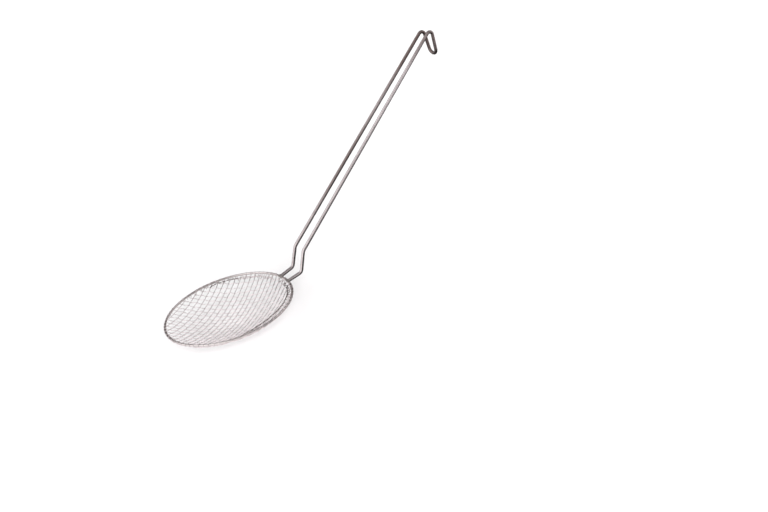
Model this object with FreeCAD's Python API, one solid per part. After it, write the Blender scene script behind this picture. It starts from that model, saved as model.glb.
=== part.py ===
import FreeCAD, Part
import math
import os

V = FreeCAD.Vector

# A wire spider skimmer: a shallow dish of woven wire in a wire hoop, on a handle bent
# from one long wire. Millimetres. The handle runs along +X, the dish opens to +Z, and
# the origin is the lowest point of the dish, on its axis.

# Rim: a hoop of round wire that carries the cloth and the handle.
rim_mean_diameter = 154.0
rim_wire = 2.6

# Dish: plain woven wire cloth, pressed to a bowl that hangs below the rim.
dish_depth = 21.0
mesh_wire = 0.8
warp_count = 24
weft_count = 23
weave_clearance = 0.05

# Both sets of wires cross the handle's line on the bias, in degrees from +X.
warp_direction = 36.0
weft_direction = -43.0

# Hem: each wire that meets the rim squarely enough is bent round it and turned back
# inside, and the outer wires stop under the rim. The cut blank sits off centre, so the
# turned margin is widest beside the handle.
hem_at_handle = 6.8
hem_at_front = 1.2
hem_bends = 3
hem_width_share = 0.75

# Handle: one wire bent double, so every size here is that of both legs.
handle_wire = 4.0
neck_reach = 18.6
neck_rise = 3.1
crank_reach = 10.8
crank_rise = 23.8
shank_reach = 240.5
shank_rise = 186.5
hook_reach = 2.1
hook_drop = 31.7

# Spacing of the two legs, centre to centre, at each bend.
legs_at_rim = 19.1
legs_at_neck = 22.1
legs_at_crank = 21.0
legs_at_top = 17.3
legs_at_hook = 13.1

# Radii of the handle's bends, along the middle of the wire.
neck_bend = 6.0
crank_bend = 10.0
top_bend = 4.3
hook_bend_share = 0.48

# Weld: a collar of metal where each leg meets the rim.
weld_leg = 0.8
weld_toe = 0.15
weld_length = 2.6

# Sizes that follow from those above.
rim_radius = rim_mean_diameter / 2
warp_pitch = rim_mean_diameter / warp_count
weft_pitch = rim_mean_diameter / weft_count
crossing = mesh_wire + weave_clearance
wrap_step = math.radians(180 / hem_bends)
corner_share = 1 / math.cos(wrap_step / 2)
warp_wrap = (rim_wire / 2 + weave_clearance + mesh_wire / math.sqrt(2)) * corner_share
weft_wrap = warp_wrap + (weave_clearance + mesh_wire * math.sqrt(2)) * corner_share
cloth_drop_at_rim = (warp_wrap + weft_wrap) / 2
cloth_rise = dish_depth - cloth_drop_at_rim
cloth_edge = rim_radius - rim_wire / 2
crimp_share = 1 + 2 * mesh_wire / min(warp_pitch, weft_pitch)
crimp = crossing / 2 * crimp_share
cloth_floor = crimp + mesh_wire / 2
rim_height = dish_depth + cloth_floor


def cloth_height(radius):
    """Height of the middle of the cloth, a paraboloid about Z."""
    return cloth_floor + cloth_rise * (radius / rim_radius) ** 2


def crimp_at(radius):
    """Height of a wire above or below the cloth's middle where two wires cross.

    On the sloping side of the dish the wires ride further apart, because each one is
    level across its width.
    """
    slope = 2 * cloth_rise * radius / rim_radius ** 2
    return crimp * (math.hypot(1, slope) + slope / math.sqrt(2))


def offsets(count, pitch):
    """Evenly spaced wires, laid out from the middle of the dish."""
    return [(index - (count - 1) / 2) * pitch for index in range(count)]


warp_offsets = offsets(warp_count, warp_pitch)
weft_offsets = offsets(weft_count, weft_pitch)


def wire_point(offset, direction, along, height):
    """A point of a wire that runs at an angle, so far from the dish's axis."""
    cosine = math.cos(math.radians(direction))
    sine = math.sin(math.radians(direction))
    return V(along * cosine - offset * sine, along * sine + offset * cosine, height)


def is_under_a_leg(offset, direction, sign, wrap):
    """True where a wire would meet the rim, or go round it, at the weld of a leg."""
    room = handle_wire / 2 + weld_leg + mesh_wire
    for radius in (rim_radius, rim_radius + wrap):
        foot = wire_point(offset, direction, sign * math.sqrt(radius ** 2 - offset ** 2), rim_height)
        if foot.x > 0 and abs(abs(foot.y) - legs_at_rim / 2) < room:
            return True
    return False


def wire_end(offset, direction, sign, wrap, layer):
    """One end of a wire: under the rim, round it, over its top and back inside."""
    reach = math.sqrt(rim_radius ** 2 - offset ** 2)
    foot = wire_point(offset, direction, sign * reach, rim_height)
    if is_under_a_leg(offset, direction, sign, wrap):
        radius = cloth_edge + mesh_wire / 2
        along = math.sqrt(radius ** 2 - offset ** 2)
        height = cloth_height(radius) + layer * crimp_at(radius)
        return [wire_point(offset, direction, sign * along, height)]
    if abs(offset) > rim_radius * hem_width_share:
        return [wire_point(offset, direction, sign * reach, rim_height - wrap)]
    bends = []
    for step in range(hem_bends + 1):
        turn = step * wrap_step - math.pi / 2
        bends.append((rim_radius + wrap * math.cos(turn), rim_height + wrap * math.sin(turn)))
    toward_handle_share = (1 + foot.x / rim_radius) / 2
    hem = hem_at_front + (hem_at_handle - hem_at_front) * toward_handle_share
    bends.append((rim_radius - hem, rim_height + wrap - hem * math.tan(wrap_step / 2)))
    points = []
    for radius, height in bends:
        along = math.sqrt(radius ** 2 - offset ** 2)
        points.append(wire_point(offset, direction, sign * along, height))
    return points


def wire_middle(offset, direction, other_offsets, other_direction, index, layer):
    """The woven stretch of a wire: one point at each crossing, over and under in turn."""
    between = math.radians(direction - other_direction)
    weave_edge = rim_radius - 2 * rim_wire
    points = []
    for other_index, other_offset in enumerate(other_offsets):
        along = (other_offset - offset * math.cos(between)) / math.sin(between)
        radius = math.hypot(offset, along)
        if radius > cloth_edge:
            continue
        side = layer
        if radius < weave_edge and (index + other_index) % 2:
            side = -layer
        height = cloth_height(radius) + side * crimp_at(radius)
        points.append((along, height))
    points.sort()
    return [wire_point(offset, direction, along, height) for along, height in points]


def strip(path, thickness):
    """A square wire along a path of points that all lie in one upright plane."""
    chord = path[-1] - path[0]
    across = V(-chord.y, chord.x, 0).normalize()
    sides = [across.cross(end - start).normalize() for start, end in zip(path, path[1:])]
    upper = []
    lower = []
    for point, before, after in zip(path, sides[:1] + sides, sides + sides[-1:]):
        mitre = (before + after).normalize()
        step = mitre * (thickness / 2 / mitre.dot(before))
        upper.append(point + step)
        lower.append(point - step)
    outline = upper + lower[::-1] + upper[:1]
    face = Part.Face(Part.makePolygon(outline))
    face.translate(across * (-thickness / 2))
    return face.extrude(across * thickness)


def mesh_wires(name, own_offsets, direction, other_offsets, other_direction, wrap, layer):
    """All the wires of one set, each a piece by itself."""
    pieces = {}
    for index, offset in enumerate(own_offsets):
        first_end = wire_end(offset, direction, -1, wrap, layer)
        last_end = wire_end(offset, direction, 1, wrap, layer)
        middle = wire_middle(offset, direction, other_offsets, other_direction, index, layer)
        path = first_end[::-1] + middle + last_end
        pieces[f"{name}_{index + 1:02d}"] = strip(path, mesh_wire)
    return pieces


def bent_path(corners, radii):
    """Straight runs joined by tangent arcs, with one radius for each inner corner."""
    edges = []
    start = corners[0]
    for before, corner, after, radius in zip(corners, corners[1:], corners[2:], radii):
        to_before = (before - corner).normalize()
        to_after = (after - corner).normalize()
        half = to_before.getAngle(to_after) / 2
        first = corner + to_before * (radius / math.tan(half))
        last = corner + to_after * (radius / math.tan(half))
        inward = (to_before + to_after).normalize()
        middle = corner + inward * (radius / math.sin(half) - radius)
        edges.append(Part.LineSegment(start, first).toShape())
        edges.append(Part.Arc(first, middle, last).toShape())
        start = last
    edges.append(Part.LineSegment(start, corners[-1]).toShape())
    return Part.Wire(edges)


def leg_corners(side):
    """The corners of one leg, from its weld on the rim to the end of the hook."""
    root = math.sqrt(rim_radius ** 2 - (legs_at_rim / 2) ** 2)
    stations = [(root, rim_height, legs_at_rim)]
    reach = rim_radius
    rise = rim_height
    for step_out, step_up, spacing in (
        (neck_reach, neck_rise, legs_at_neck),
        (crank_reach, crank_rise, legs_at_crank),
        (shank_reach, shank_rise, legs_at_top),
        (hook_reach, -hook_drop, legs_at_hook),
    ):
        reach += step_out
        rise += step_up
        stations.append((reach, rise, spacing))
    return [V(along, side * spacing / 2, height) for along, height, spacing in stations]


rim_ring = Part.makeTorus(rim_radius, rim_wire / 2, V(0, 0, rim_height))

left_leg = leg_corners(1)
right_leg = leg_corners(-1)
hook_bend = legs_at_hook * hook_bend_share
leg_bends = [neck_bend, crank_bend, top_bend, hook_bend]
handle_path = bent_path(left_leg + right_leg[::-1], leg_bends + leg_bends[::-1])
handle_end = Part.Wire(Part.makeCircle(handle_wire / 2, left_leg[0], left_leg[1] - left_leg[0]))
handle_bar = handle_path.makePipeShell([handle_end], True, False)


def weld(leg):
    """The collar of weld metal round the end of one leg, against the rim."""
    collar = Part.makeCone(
        handle_wire / 2 + weld_leg,
        handle_wire / 2 + weld_toe,
        weld_length,
        leg[0],
        leg[1] - leg[0],
    )
    return collar.cut(handle_bar).cut(rim_ring)


pieces = {
    "rim_ring": rim_ring,
    "handle_wire": handle_bar.cut(rim_ring),
    "left_weld": weld(left_leg),
    "right_weld": weld(right_leg),
}
pieces.update(
    mesh_wires("warp_wire", warp_offsets, warp_direction, weft_offsets, weft_direction, warp_wrap, 1)
)
pieces.update(
    mesh_wires("weft_wire", weft_offsets, weft_direction, warp_offsets, warp_direction, weft_wrap, -1)
)

os.makedirs("parts", exist_ok=True)
for name, shape in pieces.items():
    shape.exportStep(f"parts/{name}.step")
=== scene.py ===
"""A wire spider skimmer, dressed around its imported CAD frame."""

import math

import bpy
import numpy as np
from mathutils import Matrix, Vector


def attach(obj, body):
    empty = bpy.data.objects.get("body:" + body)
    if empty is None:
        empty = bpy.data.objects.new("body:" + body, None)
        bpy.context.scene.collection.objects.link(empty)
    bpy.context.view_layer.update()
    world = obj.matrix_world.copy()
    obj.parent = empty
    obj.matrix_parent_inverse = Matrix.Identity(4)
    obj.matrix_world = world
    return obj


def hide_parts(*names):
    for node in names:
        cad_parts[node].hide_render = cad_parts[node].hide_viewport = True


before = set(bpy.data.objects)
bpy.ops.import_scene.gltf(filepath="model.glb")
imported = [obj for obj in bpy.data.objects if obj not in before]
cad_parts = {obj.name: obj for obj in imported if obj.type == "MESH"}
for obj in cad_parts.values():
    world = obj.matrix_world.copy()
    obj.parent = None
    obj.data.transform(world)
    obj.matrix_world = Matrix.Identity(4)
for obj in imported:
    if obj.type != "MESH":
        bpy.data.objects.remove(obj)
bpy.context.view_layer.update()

# Rim hoop: one round drawn steel wire, bent to a ring, that the cloth is folded over and the
# handle is welded to. Heat has stained it at the two welds. In patches, most of all on the near
# side of the handle, it is painted darker: painted shade for the dark that it mirrors there.
rim_radius = 0.077
rim_wire = 0.0013
rim_height = 0.02193
rim_stations = 360
rim_sides = 16
leg_at_rim = 0.00955
heat_stain = 0.75
heat_reach = 0.006
# Patches of painted shade round the rim, as middle, spread and depth: a darker colour for the dark the
# rim mirrors there.
rim_painted_shades = ((338, 33, 0.65), (160, 50, 0.35), (95, 35, 0.3))


def steel(name, colour, stain_and_shade, roughness, line_width):
    """Drawn steel wire. The die lines are a noise stretched along the wire in UV metres, the
    dull patches a noise in space, and both go to colour, roughness and bump. The mark
    attribute mixes in a rougher dark colour: heat stain by welds, painted shade elsewhere."""
    line_length = 50 * line_width
    line_share = 0.6
    dull_tone = 0.8
    rougher = 0.1
    smoother = 0.06
    marked_rougher = 0.2
    material = bpy.data.materials.new(name)
    material.use_nodes = True
    nodes = material.node_tree.nodes
    link = material.node_tree.links.new
    shader = nodes["Principled BSDF"]
    shader.inputs["Metallic"].default_value = 1.0
    place = nodes.new("ShaderNodeTexCoord")
    stretch = nodes.new("ShaderNodeMapping")
    stretch.inputs["Scale"].default_value = (1 / line_width, 1 / line_length, 1)
    link(place.outputs["UV"], stretch.inputs["Vector"])
    lines = nodes.new("ShaderNodeTexNoise")
    lines.inputs["Scale"].default_value = 1.0
    lines.inputs["Detail"].default_value = 4.0
    lines.inputs["Roughness"].default_value = 0.65
    link(stretch.outputs["Vector"], lines.inputs["Vector"])
    patches = nodes.new("ShaderNodeTexNoise")
    patches.inputs["Scale"].default_value = 130.0
    patches.inputs["Detail"].default_value = 5.0
    link(place.outputs["Object"], patches.inputs["Vector"])
    both = nodes.new("ShaderNodeMath")
    both.operation = "MULTIPLY_ADD"
    both.inputs[1].default_value = line_share
    link(lines.outputs["Fac"], both.inputs[0])
    link(patches.outputs["Fac"], both.inputs[2])
    tone = nodes.new("ShaderNodeValToRGB")
    tone.color_ramp.elements[0].position = 0.55
    tone.color_ramp.elements[0].color = tuple(dull_tone * value for value in colour) + (1,)
    tone.color_ramp.elements[1].position = 0.95
    tone.color_ramp.elements[1].color = tuple(colour) + (1,)
    link(both.outputs["Value"], tone.inputs["Fac"])
    mark = nodes.new("ShaderNodeAttribute")
    mark.attribute_name = "mark"
    stained = nodes.new("ShaderNodeMix")
    stained.data_type = "RGBA"
    # The mark colour: heat stain by the welds, painted shade elsewhere.
    stained.inputs["B"].default_value = tuple(stain_and_shade) + (1,)
    link(mark.outputs["Fac"], stained.inputs["Factor"])
    link(tone.outputs["Color"], stained.inputs["A"])
    link(stained.outputs["Result"], shader.inputs["Base Color"])
    polish = nodes.new("ShaderNodeMapRange")
    polish.inputs["From Min"].default_value = 0.5
    polish.inputs["From Max"].default_value = 1.1
    polish.inputs["To Min"].default_value = roughness + rougher
    polish.inputs["To Max"].default_value = roughness - smoother
    link(both.outputs["Value"], polish.inputs["Value"])
    dulled = nodes.new("ShaderNodeMath")
    dulled.operation = "MULTIPLY_ADD"
    dulled.inputs[1].default_value = marked_rougher
    link(mark.outputs["Fac"], dulled.inputs[0])
    link(polish.outputs["Result"], dulled.inputs[2])
    link(dulled.outputs["Value"], shader.inputs["Roughness"])
    relief = nodes.new("ShaderNodeBump")
    relief.inputs["Strength"].default_value = 0.25
    relief.inputs["Distance"].default_value = 0.00003
    link(both.outputs["Value"], relief.inputs["Height"])
    link(relief.outputs["Normal"], shader.inputs["Normal"])
    return material


def sweep(name, path, radius, sides, marks, material, closed=False):
    """A round wire along a path. Each station has a ring of points at the path plus the
    radius times (cos turn * first + sin turn * second), where first and second are square
    to the path and are carried along it without twist. An open wire is capped."""
    along_no_wire = (0.31, 0.47, 0.83)
    count = len(path)
    ahead = np.roll(path, -1, axis=0) - np.roll(path, 1, axis=0)
    if not closed:
        ahead[0] = path[1] - path[0]
        ahead[-1] = path[-1] - path[-2]
    ahead /= np.linalg.norm(ahead, axis=1, keepdims=True)
    first = np.empty_like(path)
    side = np.cross(ahead[0], along_no_wire)
    for station, along in enumerate(ahead):
        side = side - along * (side @ along)
        side = side / np.linalg.norm(side)
        first[station] = side
    second = np.cross(ahead, first)
    turn = np.linspace(0, 2 * np.pi, sides, endpoint=False)[None, :, None]
    spokes = first[:, None] * np.cos(turn) + second[:, None] * np.sin(turn)
    rings = path[:, None] + spokes * radius[:, None, None]
    spans = count if closed else count - 1
    station, corner = np.meshgrid(np.arange(spans), np.arange(sides), indexing="ij")
    onward = (station + 1) % count
    beside = (corner + 1) % sides
    quads = np.stack([
        station * sides + corner,
        station * sides + beside,
        onward * sides + beside,
        onward * sides + corner,
    ], -1).reshape(-1, 4)
    faces = quads.tolist()
    if not closed:
        faces.append(list(range(sides))[::-1])
        faces.append(list(range((count - 1) * sides, count * sides)))
    mesh = bpy.data.meshes.new(name)
    mesh.from_pydata(rings.reshape(-1, 3), [], faces)
    steps = np.linalg.norm(np.roll(path, -1, axis=0) - path, axis=1)
    length = np.concatenate([[0], np.cumsum(steps)])
    girth = 2 * np.pi * radius.mean() / sides
    uv = np.zeros((len(mesh.loops), 2))
    uv[: quads.size, 0] = (np.stack([corner, corner + 1, corner + 1, corner], -1) * girth).ravel()
    uv[: quads.size, 1] = length[np.stack([station, station, station + 1, station + 1], -1)].ravel()
    mesh.uv_layers.new(name="wire").data.foreach_set("uv", uv.ravel())
    smooth = np.ones(len(faces), dtype=bool)
    smooth[len(quads):] = False
    mesh.polygons.foreach_set("use_smooth", smooth)
    layer = mesh.attributes.new("mark", "FLOAT", "POINT")
    layer.data.foreach_set("value", np.repeat(marks, sides))
    mesh.materials.append(material)
    piece = bpy.data.objects.new(name, mesh)
    bpy.context.collection.objects.link(piece)
    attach(piece, "root")
    return piece


def bell(angle, middle, spread, power):
    """A bell over the angle round the rim: e to minus the angle's distance from the middle,
    over the spread, to the power. Middle and spread are in degrees, and a power of 4 gives a
    flatter top than one of 2."""
    return np.exp(-((angle - math.radians(middle)) / math.radians(spread)) ** power)


rim_steel = steel("rim steel", (0.76, 0.7, 0.695), (0.21, 0.17, 0.15), 0.16, 0.00012)
rim_turn = np.linspace(0, 2 * np.pi, rim_stations, endpoint=False)
rim_path = np.stack([
    rim_radius * np.cos(rim_turn),
    rim_radius * np.sin(rim_turn),
    np.full(rim_stations, rim_height),
], -1)
from_leg = np.hypot(rim_path[:, 0] - rim_radius, np.abs(rim_path[:, 1]) - leg_at_rim)
rim_heat_stain_and_shade = heat_stain * np.exp(-(from_leg / heat_reach) ** 2)
for shade_turn, shade_spread, shade_depth in rim_painted_shades:
    from_shade = np.abs((rim_turn - math.radians(shade_turn) + np.pi) % (2 * np.pi) - np.pi)
    rim_heat_stain_and_shade = np.maximum(rim_heat_stain_and_shade, shade_depth * bell(from_shade, 0, shade_spread, 2))
rim_girth = np.full(rim_stations, rim_wire)
rim = sweep("rim_hoop", rim_path, rim_girth, rim_sides, rim_heat_stain_and_shade, rim_steel, closed=True)
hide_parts("rim_ring")

# Handle: one thick steel wire bent double, up from the left weld, round the hook's closed end
# and down to the right weld. The legs are alike, but for a hook that was bent a little askew;
# the left leg, the hook and part of the right leg are painted darker, as painted shade.
handle_wire = 0.002
handle_sides = 24
weld_foot = (math.sqrt(rim_radius ** 2 - leg_at_rim ** 2), leg_at_rim, rim_height)
neck_end = (0.0956, 0.01105, rim_height + 0.0031)
crank_top = (0.1064, 0.0105, rim_height + 0.0269)
shank_top = (0.3469, 0.00865, rim_height + 0.2134)
hook_end = (0.3490, 0.00655, rim_height + 0.1817)
neck_bend = 0.006
crank_bend = 0.010
top_bend = 0.0043
hook_bend = 0.0063
hook_askew = (0, -0.0018, 0)
right_bend_further = (0.0020, 0, 0.0016)
mirror = np.array([1, -1, 1])
arc_points = 17
run_step = 0.004
last_run_points = 6
neck_stain = 0.3
leg_blend = 0.001


def bent(corners, radii):
    """Points along straight runs joined by arcs that touch both runs at each corner. An arc's
    centre is on the line that halves the corner, at the radius over the sine of half its
    angle."""
    points = [corners[:1]]
    for before, corner, after, radius in zip(corners, corners[1:], corners[2:], radii):
        to_before = (before - corner) / np.linalg.norm(before - corner)
        to_after = (after - corner) / np.linalg.norm(after - corner)
        inward = (to_before + to_after) / np.linalg.norm(to_before + to_after)
        square = (to_before - to_after) / np.linalg.norm(to_before - to_after)
        half = math.acos(np.clip(to_before @ to_after, -1, 1)) / 2
        centre = corner + inward * radius / math.sin(half)
        start = corner + to_before * radius / math.tan(half)
        share = np.linspace(-1, 1, arc_points)[:, None] * (math.pi / 2 - half)
        arc = centre + radius * (-inward * np.cos(share) - square * np.sin(share))
        run_length = np.linalg.norm(start - points[-1][-1])
        run = np.linspace(points[-1][-1], start, 2 + int(run_length / run_step))
        points.append(run[1:-1])
        points.append(arc)
    run = np.linspace(points[-1][-1], corners[-1], last_run_points)
    points.append(run[1:])
    return np.concatenate(points)


leg_corners = np.array([weld_foot, neck_end, crank_top, shank_top, hook_end])
leg_bends = [neck_bend, crank_bend, top_bend, hook_bend]
top_corner = 3
hook_corner = 4
left_corners = leg_corners.copy()
left_corners[top_corner:] += hook_askew
right_corners = leg_corners * mirror
right_corners[top_corner] += right_bend_further
right_corners[hook_corner] += hook_askew
handle_path = bent(np.concatenate([left_corners, right_corners[::-1]]), leg_bends + leg_bends[::-1])
along_handle = handle_path[:, 0]
left_share = 1 / (1 + np.exp(-handle_path[:, 1] / leg_blend))
# Painted shade: the left leg, a stretch of the right leg and the hook are marked darker for the dark
# they mirror.
left_leg_painted_shade = np.interp(
    along_handle,
    [0.10, 0.14, 0.17, 0.21, 0.26, 0.30, 0.33],
    [0.25, 0.45, 0.85, 0.95, 0.50, 0.85, 1.00],
)
right_leg_painted_shade = np.interp(along_handle, [0.10, 0.13, 0.20, 0.25], [0.1, 0.25, 0.25, 0])
hook_painted_shade = np.interp(along_handle, [0.300, 0.327, 0.3465], [0, 0.65, 0.85])
# Heat stain by the welds, added to the painted shade.
handle_heat_stain_and_shade = neck_stain * np.exp(-((along_handle - rim_radius) / heat_reach) ** 2)
handle_heat_stain_and_shade += left_share * left_leg_painted_shade + (1 - left_share) * right_leg_painted_shade + hook_painted_shade
handle_heat_stain_and_shade = np.clip(handle_heat_stain_and_shade, 0, 1)
handle_steel = steel("handle steel", (0.68, 0.61, 0.618), (0.21, 0.162, 0.153), 0.17, 0.00016)
handle_girth = np.full(len(handle_path), handle_wire)
handle = sweep("handle_hairpin", handle_path, handle_girth, handle_sides, handle_heat_stain_and_shade, handle_steel)
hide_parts("handle_wire")

# Welds: a collar of weld metal round the end of each leg, against the rim, left as it was
# puddled. It is rougher than the drawn wire, and its own heat has stained it, most at the rim.
weld_stations = 12
weld_sides = 20
weld_length = 0.0026
weld_start_share = -0.3
weld_slim = 0.00195
weld_swell = 0.00085
ripple_depth = 0.00008
ripple_rate = 14
stain_at_rim = 0.6
stain_at_leg = 0.1
weld_steel = steel("weld steel", (0.56, 0.52, 0.51), (0.17, 0.15, 0.14), 0.42, 0.0004)


def weld(name, leg, phase):
    """A collar about the leg, from a little behind the leg's end: its radius falls from the
    rim to the leg as half a cosine wave, with a fine sine along it for the ripples of a
    puddled bead."""
    axis = (leg[1] - leg[0]) / np.linalg.norm(leg[1] - leg[0])
    along = np.linspace(weld_start_share, 1, weld_stations)
    radius = weld_slim + weld_swell * (0.5 + 0.5 * np.cos(np.pi * np.clip(along, 0, 1)))
    radius = radius + ripple_depth * np.sin(along * ripple_rate + phase)
    path = leg[0] + axis * along[:, None] * weld_length
    marks = np.linspace(stain_at_rim, stain_at_leg, weld_stations)
    piece = sweep(name, path, radius, weld_sides, marks, weld_steel)
    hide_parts(name.replace("bead", "weld"))


weld("left_bead", leg_corners[:2], 1.0)
weld("right_bead", leg_corners[:2] * mirror, 2.5)

# Cloth: plain woven steel wire, pressed to a bowl that touches the rim from below. The warp
# wires cross the handle's line at 36 degrees and stay nearly straight. Their ends go round
# the rim and are turned back inside as a hem, which is widest beside the handle.
chance = np.random.default_rng(11)
mesh_wire = 0.0004
pressed_wire = 0.00029
mesh_sides = 8
warp_count = 24
weft_count = 23
warp_angle = math.radians(36)
weft_angle = math.radians(-43)
warp_offsets = (np.arange(warp_count) - (warp_count - 1) / 2) * 2 * rim_radius / warp_count
weft_offsets = (np.arange(weft_count) - (weft_count - 1) / 2) * 2 * rim_radius / weft_count
crossing_slack = 1.03
warp_crimp = 0.55
weft_crimp = 1.4
cloth_floor = mesh_wire * (1 + crossing_slack * weft_crimp)
cloth_gap = rim_wire + 2 * mesh_wire
cloth_lean = math.radians(26.6)
edge_radius = rim_radius + cloth_gap * math.sin(cloth_lean)
edge_height = rim_height - cloth_gap * math.cos(cloth_lean)
bowl = (edge_height - cloth_floor) / edge_radius ** 2
weave_step = 0.0008
offset_scatter = 0.0001
wrap_bite = 0.0001
unturned_share = 0.9
short_of_rim = 0.0006
calm_from = 0.0075
calm_over = 0.004
rise_from = 0.002
rise_over = 0.0027
flat_over = 0.002
cut_share = 0.8
hem_at_handle = 0.0068
hem_at_front = 0.0012
hem_scatter = 0.0004
hem_swell = 0.0017
swell_middle = -66
swell_spread = 22
level_middle = -58
level_spread = 48
level_bend = 98
pressed_bend = 140
bend_stations = 40
run_stations = 60
longest_run = 0.014
tail_lift = 4 * mesh_wire
tail_step = 0.0004
fewest_steps = 6
slant_scatter = 0.06
tip_scatter = 0.00015
weld_beside = 0.0034
weld_inside = 0.002
# Painted shade on the turned ends: a light one where they are squeezed round the rim, and a darker one
# over the cut tips.
squeezed_shade = 0.25
unsqueezed_spread = 24
run_shade = 0.1
far_tip_shade = 0.4
near_tip_shade = 1.0
near_tip_middle = -28
near_tip_spread = 28
# The dark colour that the cloth's painted shade mixes in.
mesh_painted_shade = (0.14, 0.11, 0.1)
warp_steel = steel("warp steel", (0.8, 0.717, 0.727), mesh_painted_shade, 0.24, 0.0001)


def stand_off(angle):
    """How far the hem stands off the cloth: 1 where it was left level, on the near side of
    the handle, falling to 0 where it was pressed down, as a flat-topped bell of the angle
    round the rim."""
    return bell(angle, level_middle, level_spread, 4)


def hem_width(angle):
    """The width of the turned margin: it grows with the cosine of the angle round the rim,
    from the front to the handle, and swells where the hem was left level."""
    toward_handle = (1 + np.cos(angle)) / 2
    swell = hem_swell * bell(angle, swell_middle, swell_spread, 2)
    return hem_at_front + (hem_at_handle - hem_at_front) * toward_handle + swell


def fold_profile(wrap, lift, bend):
    """The way of a wire end in a plane through the axis, as distance outside the rim's
    middle, height above it, and length: round the rim at the wrap radius as far as the
    bend, then down a straight line to the cloth, which it follows at the lift."""
    turn = np.linspace(cloth_lean - math.pi / 2, bend, bend_stations)
    out = wrap * np.cos(turn)
    rise = wrap * np.sin(turn)
    down = np.linspace(0, longest_run, run_stations)[1:]
    out = np.concatenate([out, out[-1] - math.sin(turn[-1]) * down])
    rise = np.concatenate([rise, rise[-1] + math.cos(turn[-1]) * down])
    cloth = cloth_floor + bowl * (rim_radius + out) ** 2 - rim_height + lift / math.cos(cloth_lean)
    rise = np.where(np.arange(len(out)) >= bend_stations, np.maximum(rise, cloth), rise)
    length = np.concatenate([[0], np.cumsum(np.hypot(np.diff(out), np.diff(rise)))])
    return out, rise, length


def wire_tail(foot, forward, wrap, lift):
    """The end of a wire from where it touches the rim: it goes on along the fold, and
    drifts round the rim as a folded sheet does, by the length times its slant. Its slant, its
    reach across the hem and the height of its tip each stray a little by chance."""
    angle = math.atan2(foot[1], foot[0])
    bend = math.radians(pressed_bend - (pressed_bend - level_bend) * stand_off(angle))
    out, rise, length = fold_profile(wrap, lift, bend)
    radial = np.array([math.cos(angle), math.sin(angle)])
    slant = (forward @ np.array([-radial[1], radial[0]])) / (forward @ radial)
    slant = slant * math.cos(cloth_lean) + chance.normal(0, slant_scatter)
    hem = hem_width(angle) + chance.normal(0, hem_scatter)
    turned = np.argmax(out)
    last = np.interp(hem, -out[turned:], length[turned:])
    way = np.linspace(0, last, max(fewest_steps, int(last / tail_step)))[1:]
    radius = rim_radius + np.interp(way, length, out)
    height = rim_height + np.interp(way, length, rise)
    height = height + chance.normal(0, tip_scatter) * (way / last) ** 2
    round_rim = angle + way * slant / rim_radius
    return np.stack([radius * np.cos(round_rim), radius * np.sin(round_rim), height], -1)


def tail_marks(tail):
    """Painted shade along a turned end: a light one where it was squeezed round the rim, which
    fades where the hem was left level, and one over the cut tip, which is darkest on the near
    side of the handle."""
    if len(tail) == 0:
        return np.zeros(0)
    angle = math.atan2(tail[0, 1], tail[0, 0])
    near_tip = bell(angle, near_tip_middle, near_tip_spread, 4)
    tip = far_tip_shade + (near_tip_shade - far_tip_shade) * near_tip
    squeezed = squeezed_shade * (1 - bell(angle, level_middle, unsqueezed_spread, 4))
    painted_shades = [0, squeezed, run_shade, run_shade, tip, tip]
    return np.interp(np.linspace(0, 1, len(tail)), [0, 0.3, 0.5, 0.6, 0.68, 1], painted_shades)


def meets_a_leg(points):
    """True if a wire end comes into the weld of one of the handle's legs."""
    beside = np.abs(np.abs(points[:, 1]) - leg_at_rim) < weld_beside
    return np.any(beside & (points[:, 0] > rim_radius - weld_inside))


def eased(distance, over):
    """From 0 at no distance to 1 over the given one, level at both ends: three times the share
    squared less twice its cube."""
    share = np.clip(distance / over, 0, 1)
    return share ** 2 * (3 - 2 * share)


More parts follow.
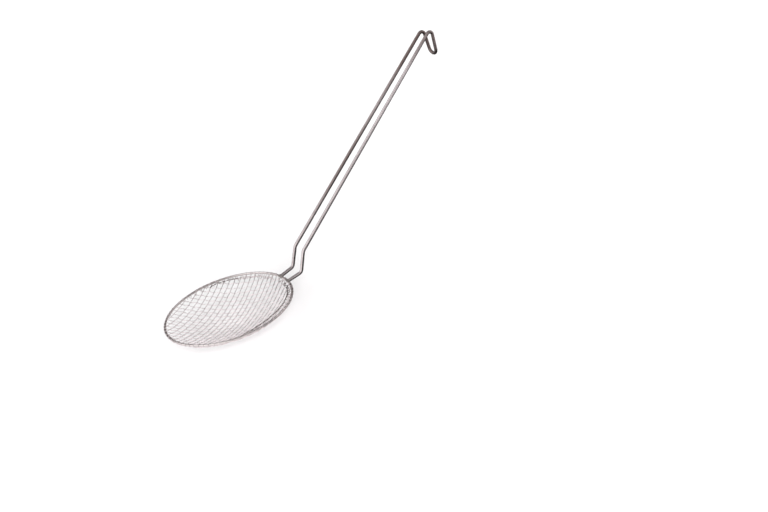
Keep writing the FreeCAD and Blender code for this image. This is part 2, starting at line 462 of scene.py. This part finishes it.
def weave(family, offsets, angle, others, other_angle, layer, crimp, metal):
    """The wires of one set. A wire is straight in plan, and its height is that of the bowl
    plus a cosine that takes it over and under each wire of the other set in turn, by the
    crimp, which is counted in wire radii. Near the rim it leaves off weaving, lies in its own
    layer, 1 for the upper and -1 for the lower, and then rises to touch the rim."""
    forward = np.array([math.cos(angle), math.sin(angle)])
    across = np.array([-math.sin(angle), math.cos(angle)])
    wrap = rim_wire + pressed_wire - wrap_bite
    touch = rim_radius + wrap * math.sin(cloth_lean)
    for index, offset in enumerate(offsets):
        offset = offset + chance.normal(0, offset_scatter)
        reach = math.sqrt(touch ** 2 - offset ** 2)
        tails = []
        limits = []
        for sign in (-1, 1):
            foot = forward * sign * reach + across * offset
            tail = wire_tail(foot, forward * sign, wrap, tail_lift - layer * mesh_wire)
            limit = reach
            if abs(offset) > unturned_share * rim_radius or meets_a_leg(tail):
                limit = math.sqrt((rim_radius - short_of_rim) ** 2 - offset ** 2)
                tail = tail[:0]
            tails.append(tail)
            limits.append(sign * limit)
        along = np.linspace(limits[0], limits[1], 2 + int((limits[1] - limits[0]) / weave_step))
        plan = forward * along[:, None] + across * offset
        radius = np.hypot(plan[:, 0], plan[:, 1])
        lean = np.hypot(1, 2 * bowl * radius)
        crossing = along * math.sin(angle - other_angle) + offset * math.cos(angle - other_angle)
        number = (crossing - others[0]) / (others[1] - others[0])
        calm = eased(radius - rim_radius + calm_from, calm_over)
        side = layer * ((1 - calm) * crimp * np.cos(np.pi * (index + number)) + calm)
        side = side + (1 - side) * eased(radius - rim_radius + rise_from, rise_over)
        height = cloth_floor + bowl * radius ** 2 + side * mesh_wire * crossing_slack * lean
        middle = np.concatenate([plan, height[:, None]], -1)
        path = np.concatenate([tails[0][::-1], middle, tails[1]])
        marks = np.concatenate([
            tail_marks(tails[0])[::-1],
            np.zeros(len(middle)),
            tail_marks(tails[1]),
        ])
        inside = np.clip((rim_radius - np.hypot(path[:, 0], path[:, 1])) / flat_over, 0, 1)
        girth = pressed_wire + (mesh_wire - pressed_wire) * inside
        girth[[0, -1]] *= cut_share
        piece = sweep(f"{family}_{index + 1:02d}", path, girth, mesh_sides, marks, metal)
        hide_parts(f"{family.replace('strand', 'wire')}_{index + 1:02d}")


weave("warp_strand", warp_offsets, warp_angle, weft_offsets, weft_angle, 1, warp_crimp, warp_steel)

# Weft: the second set of the cloth's wires, woven across the warp at 79 degrees and turned over
# the rim beside it. It takes most of the crimp. Its steel is a lighter copy of the warp's,
# as painted light: the two sets are the same wire.
weft_steel_painted_light = steel("weft steel painted lighter", (0.99, 0.905, 0.92), mesh_painted_shade, 0.24, 0.0001)
weave("weft_strand", weft_offsets, weft_angle, warp_offsets, warp_angle, -1, weft_crimp, weft_steel_painted_light)

# Hem wires: steel wires of the cloth that cross its turned margin, and so run along the rim on
# the turned ends. One lies on the far side of the handle and one on the near side, and both
# are painted darker over much of their length, as painted shade along the hem's inner edge.
strand_stations = 240
across_share = 0.84
dip_share = 0.08
strand_lift = 0.0011
level_lift = 2.2 * mesh_wire
level_slope = 0.14
ripple_height = 0.00015
ripples_round = 24
beads_round = 84
slim_share = 1.05
bead_share = 0.6
between_beads_share = 0.45
shade_shares = [0, 0.35, 0.5, 1]


def hem_strand(name, first_degrees, last_degrees, painted_shades):
    """A wire along the hem. Its radius is the rim's less a share of the hem's width, its height
    that of the level or the pressed hem plus a ripple over the turned ends, and both of its
    own ends dip to the cloth. It is painted darker along its length as painted shade, and with a
    sine round the rim it swells to beads, where the painted shade is deeper."""
    share = np.linspace(0, 1, strand_stations)
    turn = np.radians(first_degrees + (last_degrees - first_degrees) * share)
    inward = across_share * hem_width(turn)
    radius = rim_radius - inward
    dip = np.clip(np.minimum(share, 1 - share) / dip_share, 0, 1)
    pressed = cloth_floor + bowl * radius ** 2 + (tail_lift + strand_lift * dip) / math.cos(cloth_lean)
    level = rim_height + rim_wire + level_lift - level_slope * inward
    ripple = ripple_height * np.sin(turn * ripples_round)
    height = pressed + (level - pressed) * stand_off(turn) * dip + ripple
    path = np.stack([radius * np.cos(turn), radius * np.sin(turn), height], -1)
    beads = 0.5 + 0.5 * np.sin(turn * beads_round)
    marks = np.interp(share, shade_shares, painted_shades)
    marks = marks * (between_beads_share + (1 - between_beads_share) * beads)
    girth = mesh_wire * (slim_share + bead_share * beads)
    piece = sweep(name, path, girth, mesh_sides, marks, warp_steel)


# Each hem wire is painted darker along much of its length, as painted shade.
hem_strand("hem_strand_left", 84, 14, [0.9, 1.0, 0.1, 0.0])
hem_strand("hem_strand_right", -12, -108, [1.0, 1.0, 1.0, 0.9])

# Floor: a plain sheet of white paper, lit nearly to white, that takes the object's shadow. A
# slight glow, for the camera, mirrors and glass alone, brings it the rest of the way.
floor_reach = 20
paper_colour = (0.84, 0.829, 0.832, 1)
paper_glow = 0.03
floor_corners = [
    (-floor_reach, -floor_reach, 0),
    (floor_reach, -floor_reach, 0),
    (floor_reach, floor_reach, 0),
    (-floor_reach, floor_reach, 0),
]
floor_mesh = bpy.data.meshes.new("floor")
floor_mesh.from_pydata(floor_corners, [], [(0, 1, 2, 3)])
floor = bpy.data.objects.new("floor", floor_mesh)
bpy.context.collection.objects.link(floor)
paper = bpy.data.materials.new("paper sweep")
paper.use_nodes = True
paper_nodes = paper.node_tree.nodes
paper_link = paper.node_tree.links.new
paper_shader = paper_nodes["Principled BSDF"]
paper_shader.inputs["Base Color"].default_value = paper_colour
paper_shader.inputs["Roughness"].default_value = 0.9
paper_shader.inputs["Specular IOR Level"].default_value = 0.0
paper_shader.inputs["Emission Color"].default_value = (1, 1, 1, 1)
rays = paper_nodes.new("ShaderNodeLightPath")
seen = paper_nodes.new("ShaderNodeMath")
seen.operation = "MAXIMUM"
paper_link(rays.outputs["Is Camera Ray"], seen.inputs[0])
paper_link(rays.outputs["Is Glossy Ray"], seen.inputs[1])
seen_through = paper_nodes.new("ShaderNodeMath")
seen_through.operation = "MAXIMUM"
paper_link(seen.outputs["Value"], seen_through.inputs[0])
paper_link(rays.outputs["Is Transmission Ray"], seen_through.inputs[1])
glow = paper_nodes.new("ShaderNodeMath")
glow.operation = "MULTIPLY"
glow.inputs[1].default_value = paper_glow
paper_link(seen_through.outputs["Value"], glow.inputs[0])
paper_link(glow.outputs["Value"], paper_shader.inputs["Emission Strength"])
floor_mesh.materials.append(paper)

# Light: one wide soft sun from the camera's side, which lights the floor and isn't mirrored, and
# a room of soft panels for the metal to mirror. In order they are a bright wall at the picture's
# left, three panels on the camera's side, a softer wall at the right and three overhead.
sun_strength = 3.5
sun_width = math.radians(34)
sun_heading = (0.275, 0.845, -0.458)
room_glow = 0.13
room_panels = (
    ((-1, 0, 0), 0.36, 0.62, 1.25),
    ((-0.32, -0.85, 0.42), 0.92, 0.98, 0.35),
    ((0.05, -0.88, 0.46), 0.8, 0.93, 0.3),
    ((0.3, -0.82, 0.48), 0.86, 0.96, 0.5),
    ((0.95, -0.15, 0.27), 0.74, 0.94, 0.95),
    ((0.25, 0.5, 0.83), 0.8, 0.95, 0.25),
    ((-0.25, -0.3, 0.92), 0.84, 0.96, 0.25),
    ((-0.4, 0.37, 0.84), 0.88, 0.97, 0.9),
)
sun_data = bpy.data.lights.new("key", "SUN")
sun_data.energy = sun_strength
sun_data.angle = sun_width
sun = bpy.data.objects.new("key", sun_data)
sun.rotation_mode = "QUATERNION"
sun.rotation_quaternion = Vector(sun_heading).to_track_quat("-Z", "Y")
sun.visible_glossy = False
bpy.context.collection.objects.link(sun)
world = bpy.data.worlds.new("studio room")
world.use_nodes = True
room_nodes = world.node_tree.nodes
room_link = world.node_tree.links.new
toward = room_nodes.new("ShaderNodeTexCoord")


def panel(middle, edge, full, strength):
    """The light of one soft panel: it grows with the cosine of the angle from the panel's
    middle, smoothly from nothing at the edge value to its strength at the full value."""
    facing = room_nodes.new("ShaderNodeVectorMath")
    facing.operation = "DOT_PRODUCT"
    facing.inputs[1].default_value = Vector(middle).normalized()
    room_link(toward.outputs["Object"], facing.inputs[0])
    fade = room_nodes.new("ShaderNodeMapRange")
    fade.interpolation_type = "SMOOTHSTEP"
    fade.inputs["From Min"].default_value = edge
    fade.inputs["From Max"].default_value = full
    fade.inputs["To Min"].default_value = 0.0
    fade.inputs["To Max"].default_value = strength
    room_link(facing.outputs["Value"], fade.inputs["Value"])
    return fade.outputs["Result"]


room_light = room_nodes.new("ShaderNodeMath")
room_light.inputs[1].default_value = room_glow
room_link(panel(*room_panels[0]), room_light.inputs[0])
for soft_panel in room_panels[1:]:
    with_panel = room_nodes.new("ShaderNodeMath")
    room_link(room_light.outputs["Value"], with_panel.inputs[0])
    room_link(panel(*soft_panel), with_panel.inputs[1])
    room_light = with_panel
room_link(room_light.outputs["Value"], room_nodes["Background"].inputs["Strength"])
room_nodes["Background"].inputs["Color"].default_value = (1, 1, 1, 1)
bpy.context.scene.world = world

# Dark card: a flat ring of felt on the floor round the dish, unseen by the camera, that the
# handle mirrors as the dark side of its wire. Its hole has a lobe on the picture's near left,
# which keeps the card out of what the rim mirrors there.
card_sides = 64
card_reach = 0.85
card_height = 0.003
hole_radius = 0.082
lobe_reach = 0.3
lobe_power = 3
lobe_turn = math.radians(215)
card_turn = np.linspace(0, 2 * np.pi, card_sides, endpoint=False)
card_ring = np.stack([np.cos(card_turn), np.sin(card_turn), np.zeros(card_sides)], -1)
card_hole = hole_radius + lobe_reach * np.clip(np.cos(card_turn - lobe_turn), 0, 1) ** lobe_power
card_points = np.concatenate([card_ring * card_hole[:, None], card_ring * card_reach])
card_points = card_points + (0, 0, card_height)
card_step = np.arange(card_sides)
card_next = (card_step + 1) % card_sides
card_faces = np.stack([card_step, card_step + card_sides, card_next + card_sides, card_next], -1)
card_mesh = bpy.data.meshes.new("dark_card")
card_mesh.from_pydata(card_points, [], card_faces.tolist())
card = bpy.data.objects.new("dark_card", card_mesh)
bpy.context.collection.objects.link(card)
card.visible_camera = False
card.visible_diffuse = False
card.visible_transmission = False
card.visible_shadow = False
felt = bpy.data.materials.new("dark felt")
felt.use_nodes = True
felt_shader = felt.node_tree.nodes["Principled BSDF"]
felt_shader.inputs["Base Color"].default_value = (0.05, 0.05, 0.05, 1)
felt_shader.inputs["Roughness"].default_value = 1.0
felt_shader.inputs["Specular IOR Level"].default_value = 0.0
card_mesh.materials.append(felt)

# Camera: the photograph's view, from beside the dish, looking down by 27 degrees and rolled
# by 16, through a lens of 51.6 mm on a 36 mm frame, with no shift.
picture_width = 768
focal_pixels = 1100
azimuth = math.radians(-115.552)
elevation = math.radians(27.1686)
roll = math.radians(15.707)
camera_place = (-0.318673, -1.109184, 0.616054)
cam_data = bpy.data.cameras.new("camera")
cam_data.sensor_width = 36.0
cam_data.lens = cam_data.sensor_width * focal_pixels / picture_width
cam = bpy.data.objects.new("camera", cam_data)
flat_right = Vector((-math.sin(azimuth), math.cos(azimuth), 0))
back = Vector((
    math.cos(azimuth) * math.cos(elevation),
    math.sin(azimuth) * math.cos(elevation),
    math.sin(elevation),
))
flat_up = back.cross(flat_right)
right = flat_right * math.cos(roll) - flat_up * math.sin(roll)
up = flat_right * math.sin(roll) + flat_up * math.cos(roll)
camera_turn = Matrix((right, up, back)).transposed().to_4x4()
cam.matrix_world = Matrix.Translation(camera_place) @ camera_turn
bpy.context.collection.objects.link(cam)
bpy.context.scene.camera = cam
bpy.context.scene.view_settings.view_transform = "Standard"
